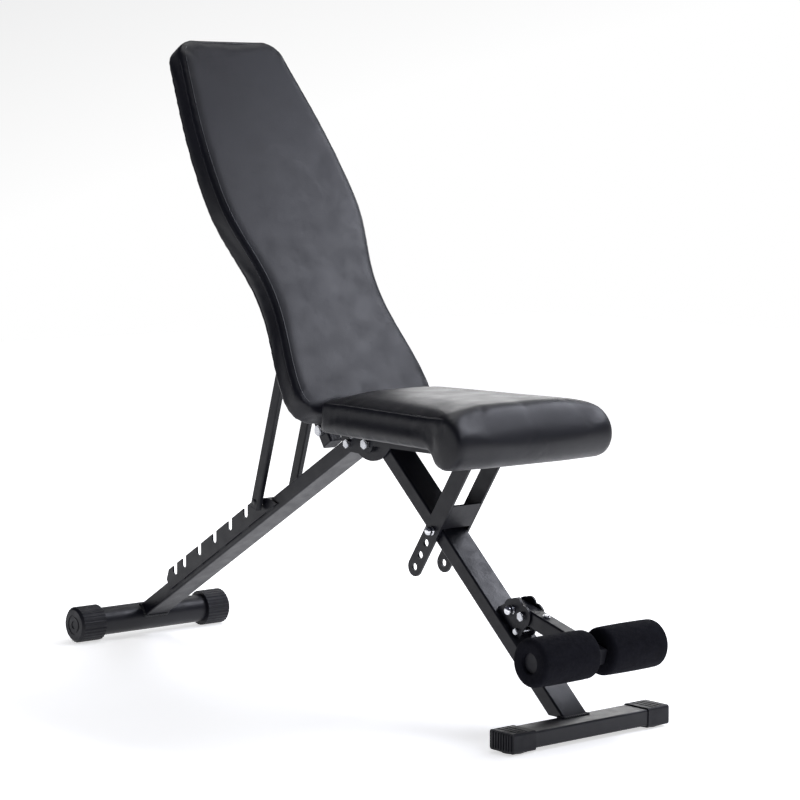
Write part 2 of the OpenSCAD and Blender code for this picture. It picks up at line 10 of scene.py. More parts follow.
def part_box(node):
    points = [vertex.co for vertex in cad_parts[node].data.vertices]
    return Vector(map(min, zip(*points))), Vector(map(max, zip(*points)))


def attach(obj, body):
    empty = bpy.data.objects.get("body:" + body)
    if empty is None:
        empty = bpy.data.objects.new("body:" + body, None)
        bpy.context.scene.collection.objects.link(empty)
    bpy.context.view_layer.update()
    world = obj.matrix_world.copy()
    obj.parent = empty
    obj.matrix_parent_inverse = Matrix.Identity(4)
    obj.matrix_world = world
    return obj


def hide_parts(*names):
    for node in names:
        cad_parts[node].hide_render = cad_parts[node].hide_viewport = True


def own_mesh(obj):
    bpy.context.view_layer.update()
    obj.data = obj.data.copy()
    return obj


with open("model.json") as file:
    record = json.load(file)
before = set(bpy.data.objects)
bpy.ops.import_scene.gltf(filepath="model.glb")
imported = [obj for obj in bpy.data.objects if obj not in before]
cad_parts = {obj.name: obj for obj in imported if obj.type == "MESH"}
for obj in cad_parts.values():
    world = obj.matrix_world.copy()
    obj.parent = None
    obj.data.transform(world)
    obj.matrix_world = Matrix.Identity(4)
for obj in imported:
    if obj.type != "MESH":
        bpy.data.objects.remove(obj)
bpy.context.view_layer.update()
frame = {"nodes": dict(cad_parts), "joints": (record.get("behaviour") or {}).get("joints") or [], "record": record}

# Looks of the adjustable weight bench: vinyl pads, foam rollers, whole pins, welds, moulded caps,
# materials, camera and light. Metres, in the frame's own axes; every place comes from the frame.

joint_at = {joint["name"]: Vector(joint["pos_m"]) for joint in frame["joints"]}


def centre(node):
    low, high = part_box(node)
    return (Vector(low) + Vector(high)) / 2


def flat(vector):
    """The vector's direction in the bench's middle plane."""
    return Vector((0, vector[1], vector[2])).normalized()


def turned(direction):
    """The direction a quarter turn from this one, rear side up."""
    return Vector((0, -direction[2], direction[1]))


# ------------------------------------------------------------------ camera and light

CAMERA_PLACE = (-2.6944, -3.3275, 0.8788)
CAMERA_AIM = (0.6417, 0.7610, -0.0952)
LENS_MM = 117.57


def make_camera():
    data = bpy.data.cameras.new("camera")
    data.lens = LENS_MM
    data.sensor_width = 36
    data.clip_end = 50
    camera = bpy.data.objects.new("camera", data)
    bpy.context.scene.collection.objects.link(camera)
    camera.location = CAMERA_PLACE
    camera.rotation_euler = Vector(CAMERA_AIM).to_track_quat("-Z", "Y").to_euler()
    bpy.context.scene.camera = camera


def area_light(name, place, aim, size, watts, tint=(1, 1, 1)):
    data = bpy.data.lights.new(name, "AREA")
    data.shape = "RECTANGLE"
    data.size, data.size_y = size
    data.energy = watts
    data.color = tint
    light = bpy.data.objects.new(name, data)
    bpy.context.scene.collection.objects.link(light)
    light.location = place
    light.rotation_euler = (Vector(aim) - Vector(place)).to_track_quat("-Z", "Y").to_euler()


BACKDROP_WAY = (0.52, 0.24, -0.82)       # towards the brightest side, low down behind the bench


def make_world():
    """Bright low down behind the bench, as a backdrop is, and dim above and on the camera's side."""
    world = bpy.data.worlds.new("studio")
    world.use_nodes = True
    tree = world.node_tree
    background = tree.nodes["Background"]
    direction = tree.nodes.new("ShaderNodeTexCoord").outputs["Generated"]
    facing = tree.nodes.new("ShaderNodeVectorMath")
    facing.operation = "DOT_PRODUCT"
    facing.inputs[1].default_value = BACKDROP_WAY
    tree.links.new(direction, facing.inputs[0])
    ramp = tree.nodes.new("ShaderNodeValToRGB")
    dim, bright = ramp.color_ramp.elements
    dim.position, bright.position = 0.0, 0.5
    dim.color = (0.055, 0.057, 0.075, 1)
    bright.color = (1, 1, 1, 1)
    tree.links.new(facing.outputs["Value"], ramp.inputs["Fac"])
    tree.links.new(ramp.outputs["Color"], background.inputs["Color"])
    background.inputs["Strength"].default_value = 1.0
    bpy.context.scene.world = world


def make_light():
    area_light("key", (1.6, -0.78, 2.05), (0, -0.3, 0.45), (1.7, 0.6), 32, (0.88, 0.90, 1))
    area_light("front", (0.7, -2.7, 2.9), (0, -0.2, 0.4), (1.5, 1.1), 26, (0.88, 0.90, 1))
    area_light("top", (0.5, 0.6, 3.0), (0, 0.1, 0), (1.8, 1.8), 24)
    area_light("rim", (2.2, 1.8, 1.5), (0, 0.0, 0.5), (1.2, 1.0), 14)
    make_world()
    bpy.context.scene.view_settings.view_transform = "Standard"


# ------------------------------------------------------------------ materials


class Paint:
    """A material being built: its node tree, its shader, and short ways to add what they need."""

    def __init__(self, name, colour, roughness, metallic=0.0):
        self.material = bpy.data.materials.new(name)
        self.material.use_nodes = True
        self.tree = self.material.node_tree
        self.shader = self.tree.nodes["Principled BSDF"]
        self.shader.inputs["Base Color"].default_value = (*colour, 1)
        self.shader.inputs["Roughness"].default_value = roughness
        self.shader.inputs["Metallic"].default_value = metallic
        self.place = self.tree.nodes.new("ShaderNodeTexCoord").outputs["Object"]

    def stretched(self, scale):
        node = self.tree.nodes.new("ShaderNodeMapping")
        node.inputs["Scale"].default_value = scale
        self.tree.links.new(self.place, node.inputs["Vector"])
        return node.outputs["Vector"]

    def noise(self, scale, detail=3.0, vector=None):
        node = self.tree.nodes.new("ShaderNodeTexNoise")
        node.inputs["Scale"].default_value = scale
        node.inputs["Detail"].default_value = detail
        self.tree.links.new(vector or self.place, node.inputs["Vector"])
        return node.outputs["Fac"]

    def cells(self, scale, feature="F1"):
        node = self.tree.nodes.new("ShaderNodeTexVoronoi")
        node.feature = feature
        node.inputs["Scale"].default_value = scale
        self.tree.links.new(self.place, node.inputs["Vector"])
        return node.outputs["Distance"]

    def wave(self, scale, direction):
        node = self.tree.nodes.new("ShaderNodeTexWave")
        node.bands_direction = direction
        node.inputs["Scale"].default_value = scale
        self.tree.links.new(self.place, node.inputs["Vector"])
        return node.outputs["Fac"]

    def ramp(self, value, low, high, stops=(0.3, 0.7)):
        node = self.tree.nodes.new("ShaderNodeValToRGB")
        for element, stop, colour in zip(node.color_ramp.elements, stops, (low, high)):
            element.position = stop
            element.color = (*colour, 1)
        self.tree.links.new(value, node.inputs["Fac"])
        return node.outputs["Color"]

    def colour_from(self, value, low, high, stops=(0.3, 0.7)):
        self.tree.links.new(self.ramp(value, low, high, stops), self.shader.inputs["Base Color"])

    def roughness_from(self, value, low, high, stops=(0.3, 0.7)):
        grey = self.ramp(value, (low,) * 3, (high,) * 3, stops)
        self.tree.links.new(grey, self.shader.inputs["Roughness"])

    def bump(self, *layers):
        """layers are (height, strength, depth in metres), from coarse to fine."""
        normal = None
        for height, strength, depth in layers:
            node = self.tree.nodes.new("ShaderNodeBump")
            node.inputs["Strength"].default_value = strength
            node.inputs["Distance"].default_value = depth
            self.tree.links.new(height, node.inputs["Height"])
            if normal:
                self.tree.links.new(normal, node.inputs["Normal"])
            normal = node.outputs["Normal"]
        self.tree.links.new(normal, self.shader.inputs["Normal"])

    def set(self, **inputs):
        for name, value in inputs.items():
            self.shader.inputs[name.replace("_", " ")].default_value = value
        return self.material


def powder_coat():
    paint = Paint("powder_coat", (0.006, 0.0062, 0.0105), 0.38)
    paint.colour_from(paint.noise(14, 4), (0.0046, 0.0048, 0.0085), (0.0075, 0.0078, 0.0125))
    paint.roughness_from(paint.noise(45, 5), 0.33, 0.46)
    paint.bump((paint.noise(620, 2), 0.16, 0.0006), (paint.cells(1900), 0.10, 0.0003))
    return paint.set(Specular_IOR_Level=0.34)


def weld_paint():
    paint = Paint("weld_paint", (0.014, 0.015, 0.018), 0.4)
    paint.roughness_from(paint.noise(300, 4), 0.3, 0.55)
    paint.bump((paint.noise(900, 3), 0.4, 0.0005))
    return paint.set(Specular_IOR_Level=0.35)


def vinyl(name, dark, light, gloss=0.0):
    paint = Paint(name, dark, 0.4)
    paint.colour_from(paint.noise(9, 5), dark, light)
    paint.roughness_from(paint.noise(26, 5), 0.37 - gloss, 0.48 - gloss)
    grain = paint.cells(780, "DISTANCE_TO_EDGE")
    creases = paint.ramp(grain, (0, 0, 0), (1, 1, 1), (0.0, 0.16))
    paint.bump((paint.noise(16, 2), 0.04, 0.004), (creases, 0.16, 0.0004),
               (paint.noise(2600, 2), 0.1, 0.0002))
    return paint.set(Specular_IOR_Level=0.33 + gloss)


def foam():
    paint = Paint("roller_foam", (0.0045, 0.0046, 0.0080), 0.9)
    paint.colour_from(paint.noise(60, 6), (0.0034, 0.0035, 0.0064), (0.0058, 0.0060, 0.0100))
    paint.roughness_from(paint.noise(200, 4), 0.82, 0.98)
    paint.bump((paint.noise(38, 2), 0.15, 0.002), (paint.cells(900), 0.5, 0.0006),
               (paint.noise(2200, 3), 0.4, 0.0004))
    return paint.set(Specular_IOR_Level=0.12)


def moulded_plastic():
    paint = Paint("moulded_plastic", (0.0068, 0.0070, 0.0110), 0.5)
    paint.colour_from(paint.noise(22, 4), (0.0054, 0.0056, 0.0092), (0.0082, 0.0084, 0.0132))
    paint.roughness_from(paint.noise(70, 4), 0.42, 0.58)
    paint.bump((paint.cells(1500), 0.22, 0.0003))
    return paint.set(Specular_IOR_Level=0.3)


def zinc_plate():
    paint = Paint("zinc_plate", (0.62, 0.63, 0.66), 0.26, 1.0)
    paint.colour_from(paint.noise(120, 4), (0.52, 0.53, 0.56), (0.74, 0.75, 0.78))
    paint.roughness_from(paint.noise(240, 5), 0.18, 0.36)
    paint.bump((paint.noise(1400, 3), 0.12, 0.0002))
    return paint.material


def pin_chrome():
    paint = Paint("pin_chrome", (0.74, 0.75, 0.78), 0.14, 1.0)
    paint.roughness_from(paint.noise(300, 4, paint.stretched((0.08, 1, 1))), 0.08, 0.24)
    paint.bump((paint.noise(900, 2, paint.stretched((3, 1, 1))), 0.05, 0.0002))
    return paint.material


def backing_cloth():
    paint = Paint("backing_cloth", (0.014, 0.014, 0.015), 0.85)
    paint.colour_from(paint.noise(30, 5), (0.011, 0.011, 0.012), (0.022, 0.022, 0.024))
    paint.bump((paint.wave(260, "X"), 0.4, 0.0004), (paint.wave(260, "Z"), 0.4, 0.0004))
    paint.roughness_from(paint.noise(120, 3), 0.78, 0.95)
    return paint.set(Sheen_Weight=0.15)


def pale_floor():
    """White, and glowing further out, so that it meets the backdrop without a line."""
    paint = Paint("pale_floor", (0.9, 0.9, 0.9), 0.7)
    paint.roughness_from(paint.noise(3, 2), 0.65, 0.8)
    reach = paint.tree.nodes.new("ShaderNodeVectorMath")
    reach.operation = "LENGTH"
    paint.tree.links.new(paint.place, reach.inputs[0])
    glow = paint.ramp(reach.outputs["Value"], (0.6,) * 3, (1.02,) * 3, (0.55, 1.0))
    paint.tree.links.new(glow, paint.shader.inputs["Emission Color"])
    return paint.set(Specular_IOR_Level=0.1, Emission_Strength=1.0)


powder_coat, weld_paint, foam = powder_coat(), weld_paint(), foam()
moulded_plastic, zinc_plate, pin_chrome = moulded_plastic(), zinc_plate(), pin_chrome()
backing_cloth, pale_floor = backing_cloth(), pale_floor()
black_vinyl = vinyl("black_vinyl", (0.0038, 0.0040, 0.0072), (0.0062, 0.0064, 0.0108))
# Seam vinyl: a lighter, glossier copy of the black vinyl; its lighter colour is a painted highlight along the
# piped seams.
seam_vinyl_painted_highlight = vinyl("seam_vinyl_painted_highlight", (0.008, 0.0083, 0.012), (0.013, 0.0135, 0.019), 0.12)

SLOT_LOOKS = {
    "frame_paint": powder_coat,
    "black_plastic": moulded_plastic,
    "zinc": zinc_plate,
    "pin_chrome": pin_chrome,
    "vinyl": black_vinyl,
    "roller_foam": foam,
    "board": backing_cloth,
}


def paint_frame():
    for part in frame["record"]["subparts"]:
        node = frame["nodes"][part["node"]]
        node.data.materials.clear()
        node.data.materials.append(SLOT_LOOKS[part["material_slot"]])


# ------------------------------------------------------------------ building blocks


def mesh_object(name, points, faces, material):
    mesh = bpy.data.meshes.new(name)
    mesh.from_pydata([tuple(point) for point in points], [], faces)
    mesh.materials.append(material)
    tidy = bmesh.new()
    tidy.from_mesh(mesh)
    bmesh.ops.recalc_face_normals(tidy, faces=tidy.faces)
    tidy.to_mesh(mesh)
    tidy.free()
    for polygon in mesh.polygons:
        polygon.use_smooth = True
    piece = bpy.data.objects.new(name, mesh)
    bpy.context.scene.collection.objects.link(piece)
    return piece


def place(piece, body, slot, *nodes):
    if nodes:
        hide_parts(*nodes)
    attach(piece, body)
    return piece


def joined(name, pieces):
    """One object from several, each keeping its material."""
    with bpy.context.temp_override(active_object=pieces[0], selected_editable_objects=pieces):
        bpy.ops.object.join()
    pieces[0].name = name
    pieces[0].data.name = name
    return pieces[0]


def lathe(name, profile, middle, material, steps=64):
    """Turns (x, radius) points about the line along X through middle."""
    points, faces = [], []
    for x, radius in profile:
        for step in range(steps):
            angle = 2 * pi * step / steps
            points.append((x, middle[1] + radius * cos(angle), middle[2] + radius * sin(angle)))
    for ring in range(len(profile) - 1):
        for step in range(steps):
            after = (step + 1) % steps
            base, over = ring * steps, (ring + 1) * steps
            faces.append((base + step, base + after, over + after, over + step))
    faces.append(tuple(range(steps)))
    faces.append(tuple(range((len(profile) - 1) * steps, len(profile) * steps)))
    return mesh_object(name, points, faces, material)


ROPE_SIDES = 8
WELD_STEP = 0.004        # length of one ripple of a weld bead


def rope(name, path, radius, material, closed=False, ripple=0.0):
    """A round bead along a path of points; ripple swells it in even steps, like a weld."""
    sides = ROPE_SIDES
    path = [Vector(point) for point in path]
    count = len(path)
    points, faces = [], []
    travelled = 0.0
    across = None
    for i, point in enumerate(path):
        after = path[(i + 1) % count] if closed or i < count - 1 else point
        before = path[i - 1] if closed or i else point
        along = (after - before).normalized()
        if across is None:
            across = along.orthogonal().normalized()
        across = (across - along * across.dot(along)).normalized()
        other = along.cross(across)
        travelled += (point - path[i - 1]).length if i else 0.0
        width = radius * (1 + ripple * abs(sin(pi * travelled / WELD_STEP)))
        if not closed and i in (0, count - 1):
            width *= 0.5
        for side in range(sides):
            angle = 2 * pi * side / sides
            points.append(point + width * (cos(angle) * across + sin(angle) * other))
    for i in range(count if closed else count - 1):
        base, over = i * sides, (i + 1) % count * sides
        for side in range(sides):
            after = (side + 1) % sides
            faces.append((base + side, base + after, over + after, over + side))
    if not closed:
        faces.append(tuple(range(sides)))
        faces.append(tuple(range((count - 1) * sides, count * sides)))
    return mesh_object(name, points, faces, material)


def stepped(start, end, pitch):
    """Points from start to end, about pitch apart."""
    start, end = Vector(start), Vector(end)
    count = max(2, round((end - start).length / pitch))
    return [start.lerp(end, i / count) for i in range(count + 1)]


def weld(name, body, *runs, radius=0.0019):
    beads = []
    for run in runs:
        path = [point for a, b in zip(run, run[1:]) for point in stepped(a, b, 0.0011)]
        beads.append(rope(name, path, radius, weld_paint, ripple=0.35))
    return place(joined(name, beads), body, "frame_paint")


# ------------------------------------------------------------------ stuffed pads


def apply_modifier(piece, modifier):
    with bpy.context.temp_override(object=piece, active_object=piece):
        bpy.ops.object.modifier_apply(modifier=modifier.name)


def voxel_remesh(piece, size):
    modifier = piece.modifiers.new("voxels", "REMESH")
    modifier.mode = "VOXEL"
    modifier.voxel_size = size
    modifier.use_smooth_shade = True
    apply_modifier(piece, modifier)


def smooth(piece, rounds):
    modifier = piece.modifiers.new("ease", "SMOOTH")
    modifier.factor = 0.5
    modifier.iterations = rounds
    apply_modifier(piece, modifier)


def inflate(piece, is_held, most, pressure=4.0, frames=20):
    """Swells the cover like stuffed vinyl with Cloth, each point moving at most `most` metres."""
    held = piece.vertex_groups.new(name="held")
    rest = [vertex.co.copy() for vertex in piece.data.vertices]
    held.add([i for i, point in enumerate(rest) if is_held(point)], 1.0, "REPLACE")
    modifier = piece.modifiers.new("stuffing", "CLOTH")
    modifier.settings.quality = 4
    modifier.settings.use_pressure = True
    modifier.settings.uniform_pressure_force = pressure
    modifier.settings.vertex_group_mass = "held"
    modifier.settings.effector_weights.gravity = 0
    modifier.collision_settings.use_collision = False
    modifier.point_cache.frame_end = frames
    scene = bpy.context.scene
    for step in range(1, frames + 1):
        scene.frame_set(step)
    view = piece.evaluated_get(bpy.context.evaluated_depsgraph_get())
    swollen = [vertex.co.copy() for vertex in view.data.vertices]
    piece.modifiers.remove(modifier)
    scene.frame_set(1)
    for vertex, start, end in zip(piece.data.vertices, rest, swollen):
        move = end - start
        if move.length > 1e-9:
            vertex.co = start + move.normalized() * most * tanh(move.length / most)
    piece.vertex_groups.remove(held)


def dent(piece, amount, wavelength):
    """Soft unevenness of a hand-upholstered cover."""
    vertices = piece.data.vertices
    normals = [vertex.normal.copy() for vertex in vertices]
    for vertex, normal in zip(vertices, normals):
        vertex.co += normal * amount * noise.noise(vertex.co / wavelength)
    piece.data.update()


def fit_to(piece, origin, axes, spans):
    """Stretches the piece so that along each axis it just fills its (low, high) span."""
    for axis, (low, high) in zip(axes, spans):
        reach = [(vertex.co - origin).dot(axis) for vertex in piece.data.vertices]
        least, most = min(reach), max(reach)
        for vertex, at in zip(piece.data.vertices, reach):
            wanted = low + (at - least) * (high - low) / (most - least)
            vertex.co += axis * (wanted - at)
    piece.data.update()


def subdivided(piece):
    modifier = piece.modifiers.new("finer", "SUBSURF")
    modifier.levels = 1
    modifier.render_levels = 1
    apply_modifier(piece, modifier)
    for polygon in piece.data.polygons:
        polygon.use_smooth = True


def on_surface(tree, points, sink):
    """The nearest points of the surface, pushed in by sink."""
    found = []
    for point in points:
        place_at, normal, _, _ = tree.find_nearest(point)
        found.append(place_at - normal * sink)
    return found


def eased(path, closed, rounds=6):
    """The path with each point drawn towards its neighbours' mean; open ends stay."""
    for _ in range(rounds):
        moved = list(path)
        for i in range(0 if closed else 1, len(path) if closed else len(path) - 1):
            moved[i] = path[i] / 2 + (path[i - 1] + path[(i + 1) % len(path)]) / 4
        path = moved
    return path


SEAM_RADIUS = 0.0012


def seam_on(tree, points, closed=True):
    """A piped seam, sunk a third of its radius into the cover."""
    path = eased(on_surface(tree, points, SEAM_RADIUS * 0.35), closed)
    # the seam's lighter vinyl colour is a painted highlight along the piping
    return rope("seam", path, SEAM_RADIUS, seam_vinyl_painted_highlight, closed)


PAD_VOXEL = 0.004        # cell of the even mesh that the covers are rebuilt on
COVER_DENT = 0.0003      # unevenness of the stuffing

# Directions and places of the backrest
back_hinge = joint_at["recline"]
back_up = flat(joint_at["support_swing"] - back_hinge)
back_rear = Vector((0, back_up[2], -back_up[1]))
side = Vector((1, 0, 0))


def on_back(x, s, n):
    return back_hinge + side * x + back_up * s + back_rear * n


# Outline of the back pad: half width against the distance s along the rails
TOP_S, LOW_S = 0.733, 0.0025
SHOULDER_S, WAIST_S = 0.409, 0.225
TOP_HALF, SHOULDER_HALF, WAIST_HALF, LOW_HALF = 0.114, 0.1475, 0.119, 0.142
PAD_CORNER = 0.042
PAD_FRONT, PAD_REAR = -0.0585, -0.0132


def ease(t):
    return (1 - cos(pi * t)) / 2


def back_half(s):
    if s > SHOULDER_S:
        reach = (TOP_S - PAD_CORNER - s) / (TOP_S - PAD_CORNER - SHOULDER_S)
        return TOP_HALF + (SHOULDER_HALF - TOP_HALF) * sin(pi / 2 * reach)
    if s > WAIST_S:
        return WAIST_HALF + (SHOULDER_HALF - WAIST_HALF) * ease((s - WAIST_S) / (SHOULDER_S - WAIST_S))
    low = LOW_S + PAD_CORNER
    return WAIST_HALF + (LOW_HALF - WAIST_HALF) * ease((WAIST_S - s) / (WAIST_S - low))


def back_outline(inset, pitch=0.008):
    """(x, s) points round the pad, inset from its edge."""
    half = []
    low, high = LOW_S + PAD_CORNER, TOP_S - PAD_CORNER
    for i in range(9):
        angle = radians(-90 + 90 * i / 8)
        reach = PAD_CORNER - inset
        half.append((LOW_HALF - PAD_CORNER + reach * cos(angle), low + reach * sin(angle)))
    steps = int((high - low) / pitch)
    for i in range(1, steps):
        s = low + (high - low) * i / steps
        half.append((back_half(s) - inset, s))
    for i in range(9):
        angle = radians(90 * i / 8)
        reach = PAD_CORNER - inset
        half.append((TOP_HALF - PAD_CORNER + reach * cos(angle), high + reach * sin(angle)))
    return half + [(-x, s) for x, s in reversed(half)]


def loft(name, rings, material):
    """A closed skin through rings of equally many points."""
    count = len(rings[0])
    points = [point for ring in rings for point in ring]
    faces = []
    for ring in range(len(rings) - 1):
        for i in range(count):
            after = (i + 1) % count
            base, over = ring * count, (ring + 1) * count
            faces.append((base + i, base + after, over + after, over + i))
    faces.append(tuple(range(count)))
    faces.append(tuple(range((len(rings) - 1) * count, len(rings) * count)))
    return mesh_object(name, points, faces, material)


def cut_away(piece, through, outward):
    """Cuts off what lies on the outward side of a plane, and closes the cut."""
    shape = bmesh.new()
    shape.from_mesh(piece.data)
    every = shape.verts[:] + shape.edges[:] + shape.faces[:]
    cut = bmesh.ops.bisect_plane(shape, geom=every, plane_co=through, plane_no=outward, clear_outer=True)
    edges = [item for item in cut["geom_cut"] if isinstance(item, bmesh.types.BMEdge)]
    bmesh.ops.edgenet_fill(shape, edges=edges)
    bmesh.ops.recalc_face_normals(shape, faces=shape.faces)
    shape.to_mesh(piece.data)
    shape.free()


def make_back_pad():
    edge = 0.008
    layers = [(PAD_REAR, 0.003), (PAD_REAR - 0.002, 0.0015)]
    layers += [(PAD_FRONT + edge * (1 - sin(a)), 0.0015 + edge * (1 - cos(a)))
               for a in (radians(22.5 * i) for i in range(5))]
    rings = [[on_back(x, s, n) for x, s in back_outline(inset)] for n, inset in layers]
    pad = loft("back_pad_cover", rings, black_vinyl)
    corner = on_back(0, LOW_S, PAD_FRONT)
    outward = -(back_up + back_rear).normalized()
    cut_away(pad, corner - outward * 0.008, outward)
    voxel_remesh(pad, PAD_VOXEL)
    smooth(pad, 4)
    inflate(pad, lambda p: (p - back_hinge).dot(back_rear) > PAD_REAR - 0.004, 0.0022)
    smooth(pad, 6)
    dent(pad, COVER_DENT, 0.12)
    fit_to(pad, back_hinge, (side, back_up, back_rear),
           ((-SHOULDER_HALF, SHOULDER_HALF), (LOW_S, TOP_S), (PAD_FRONT, PAD_REAR)))
    subdivided(pad)
    tree = BVHTree.FromObject(pad, bpy.context.evaluated_depsgraph_get())
    lines = ((PAD_FRONT - 0.004, 0.0075), (PAD_FRONT + 0.009, -0.004), (PAD_REAR - 0.006, -0.004))
    seams = [seam_on(tree, [on_back(x, s, n) for x, s in back_outline(inset)])
             for n, inset in lines]
    pad = joined("back_pad_cover", [pad] + seams)
    place(pad, "backrest", "vinyl", "back_pad")


# Seat: profile in y and z, half width against y
seat_low, seat_high = (Vector(corner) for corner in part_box("seat_pad"))
board_low = Vector(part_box("seat_board")[0])
NOSE_R = (seat_high[2] - seat_low[2]) / 2
nose = Vector((0, seat_low[1] + NOSE_R, seat_high[2] - NOSE_R))
SEAT_REAR = -0.0735
SEAT_REAR_HALF = 0.1225
SEAT_FRONT_HALF = seat_high[0]
SEAT_CROWN = 0.016       # how far the stuffing stands above the edges in the middle


def seat_half(y):
    if y < nose[1]:
        return SEAT_FRONT_HALF
    return SEAT_REAR_HALF + (SEAT_FRONT_HALF - SEAT_REAR_HALF) * (SEAT_REAR - y) / (SEAT_REAR - nose[1])


def seat_profile(inset, pitch=0.008):
    """(y, z) points round the seat from its rear bottom edge, over the top and round the nose."""
    low, top, rear = board_low[2] + 0.0007 + inset, seat_high[2] - inset, SEAT_REAR - inset
    edge = 0.007
    points = [(rear, low), (rear, low + 0.015), (rear, top - 0.02)]
    points += [(rear - edge + edge * cos(radians(a)), top - edge + edge * sin(radians(a)))
               for a in (0, 30, 60, 90)]
    steps = int((rear - edge - nose[1]) / pitch)
    points += [(rear - edge - (rear - edge - nose[1]) * i / steps, top) for i in range(1, steps)]
    radius = NOSE_R - inset
    points += [(nose[1] + radius * cos(radians(a)), nose[2] + radius * sin(radians(a)))
               for a in range(90, 290, 10)]
    points += [(nose[1] + radius * cos(radians(a)), nose[2] + radius * sin(radians(a)))
               for a in (290, 300, 310)]
    points += [(nose[1] + 0.034, low - 0.006), (nose[1] + 0.042, low)]
    steps = int((rear - nose[1] - 0.05) / pitch)
    points += [(nose[1] + 0.042 + (rear - nose[1] - 0.042) * i / steps, low) for i in range(1, steps)]
    return points


def raise_crown(pad):
    """Lifts the seat's upper half in the middle, fading out towards its side edges and its ends."""
    for vertex in pad.data.vertices:
        x, y, z = vertex.co
        across = 1 - min(1, abs(x) / seat_half(y)) ** 4
        along = min(1, max(0, (SEAT_REAR - y) / 0.08)) * min(1, max(0, (y - seat_low[1]) / 0.03))
        upper = min(1, max(0, (z - nose[2]) / NOSE_R))
        vertex.co[2] += SEAT_CROWN * across * ease(along) * upper
    pad.data.update()


def make_seat_pad():
    half = [(0.5, 0.0), (0.955, 0.001), (0.988, 0.0028), (1, 0.0065)]
    layers = [(-x, inset) for x, inset in reversed(half)] + half
    rings = [[Vector((x * seat_half(y), y, z)) for y, z in seat_profile(inset)]
             for x, inset in layers]
    pad = loft("seat_pad_cover", rings, black_vinyl)
    voxel_remesh(pad, PAD_VOXEL)
    smooth(pad, 4)
    board_top = board_low[2] + 0.005
    inflate(pad, lambda p: p[2] < board_top and p[1] > nose[1] + 0.03, 0.0026)
    smooth(pad, 5)
    dent(pad, COVER_DENT, 0.09)
    fit_to(pad, Vector(), (side, Vector((0, 1, 0)), Vector((0, 0, 1))),
           ((-SEAT_FRONT_HALF, SEAT_FRONT_HALF), (seat_low[1], SEAT_REAR), (seat_low[2], seat_high[2])))
    raise_crown(pad)
    subdivided(pad)
    tree = BVHTree.FromObject(pad, bpy.context.evaluated_depsgraph_get())
    seams = []
    for x_in in (0.0015, 0.0085):
        for hand in (-1, 1):
            path = [Vector((hand * (seat_half(y) - x_in), y, z)) for y, z in seat_profile(0)
                    if z > board_low[2] + 0.012 or y < nose[1] + 0.02]
            if x_in > 0.005:
                path = [point for point in path if point[1] < nose[1] + 0.012]
            seams.append(seam_on(tree, path, closed=False))
    pad = joined("seat_pad_cover", [pad] + seams)
    place(pad, "seat", "vinyl", "seat_pad")
    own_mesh(pad)


# ------------------------------------------------------------------ rollers, pins and trim


KNOB_LENGTH = 0.01395    # of the profile below, before it is fitted to a pin's head
RECESS = 0.0094          # depth of the pocket in a roller's outer end


def make_roller(hand):
    name = "right" if hand < 0 else "left"
    node = f"{name}_roller_foam"
    low, high = (Vector(corner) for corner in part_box(node))
    inner = low[0] if hand > 0 else high[0]
    radius, length, edge = (high[2] - low[2]) / 2, high[0] - low[0], 0.007
    bore, plug = 0.0142, 0.0155
    profile = [(0.0008, bore), (0.0002, bore + 0.001)]
    profile += [(edge - edge * sin(radians(a)), radius - edge + edge * cos(radians(a)) - 0.0004)
                for a in (90, 70, 50, 30, 15, 0)]
    profile += [(length * i / 12, radius - 0.0004 + 0.0006 * sin(pi * i / 12)) for i in range(2, 11)]
    profile += [(length - edge + edge * sin(radians(a)), radius - edge + edge * cos(radians(a)) - 0.0004)
                for a in (0, 15, 30, 50, 70, 90)]
    profile += [(length - 0.0004, plug + 0.002), (length - 0.0016, plug), (length - RECESS, plug)]
    profile += [(length - RECESS, bore)]
    turned_profile = [(inner + hand * x, r) for x, r in profile]
    sleeve = lathe("sleeve", turned_profile + turned_profile[:1], centre(node), foam, 96)
    shape = bmesh.new()
    shape.from_mesh(sleeve.data)
    caps = [face for face in shape.faces if len(face.verts) > 4]
    bmesh.ops.delete(shape, geom=caps, context="FACES_ONLY")
    bmesh.ops.remove_doubles(shape, verts=shape.verts, dist=1e-6)
    bmesh.ops.recalc_face_normals(shape, faces=shape.faces)
    shape.to_mesh(sleeve.data)
    shape.free()
    sleeve.name = f"{name}_roller_sleeve"
    place(sleeve, f"{name}_roller", "roller_foam", node)


def make_support_pin():
    middle = centre("support_pin")
    radius, end = 0.0054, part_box("support_pin")[1][0]
    half = [(0, radius), (end - 0.0008, radius), (end, radius - 0.0008)]
    profile = [(-x, r) for x, r in reversed(half[1:])] + half
    place(lathe("support_cross_pin", profile, middle, powder_coat, 48), "support_frame",
          "frame_paint", "support_pin")


def make_pull_pin(name, node, body, collar, head, gap=0.0):
    """A pin with a domed knob on the right-hand side and a tapered tip on the left.

    With a gap, it is cut there, where a tube that swings away hides it at rest.
    """
    low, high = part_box(node)
    middle, knob = centre(node), low[0]
    radius = 0.00495
    knob_profile = [(0.0002, 0.003), (0.0008, 0.0048), (0.0022, collar - 0.0018),
                    (0.0036, collar - 0.0011), (0.0052, collar - 0.0009),
                    (0.0085, collar - 0.0016), (0.0108, collar - 0.0012),
                    (0.0118, collar - 0.0004), (0.0124, collar), (0.0136, collar),
                    (0.0139, collar - 0.0004), (KNOB_LENGTH, radius)]
    near = [(knob + x * head / KNOB_LENGTH, r) for x, r in knob_profile]
    far = [(high[0] - 0.003, radius), (high[0] - 0.001, radius - 0.0014), (high[0], 0.002)]
    if gap:
        halves = [lathe(name, near + [(-gap, radius)], middle, pin_chrome, 48),
                  lathe(name, [(gap, radius)] + far, middle, pin_chrome, 48)]
        pin = joined(name, halves)
    else:
        pin = lathe(name, near + far, middle, pin_chrome, 48)
    place(pin, body, "pin_chrome", node)


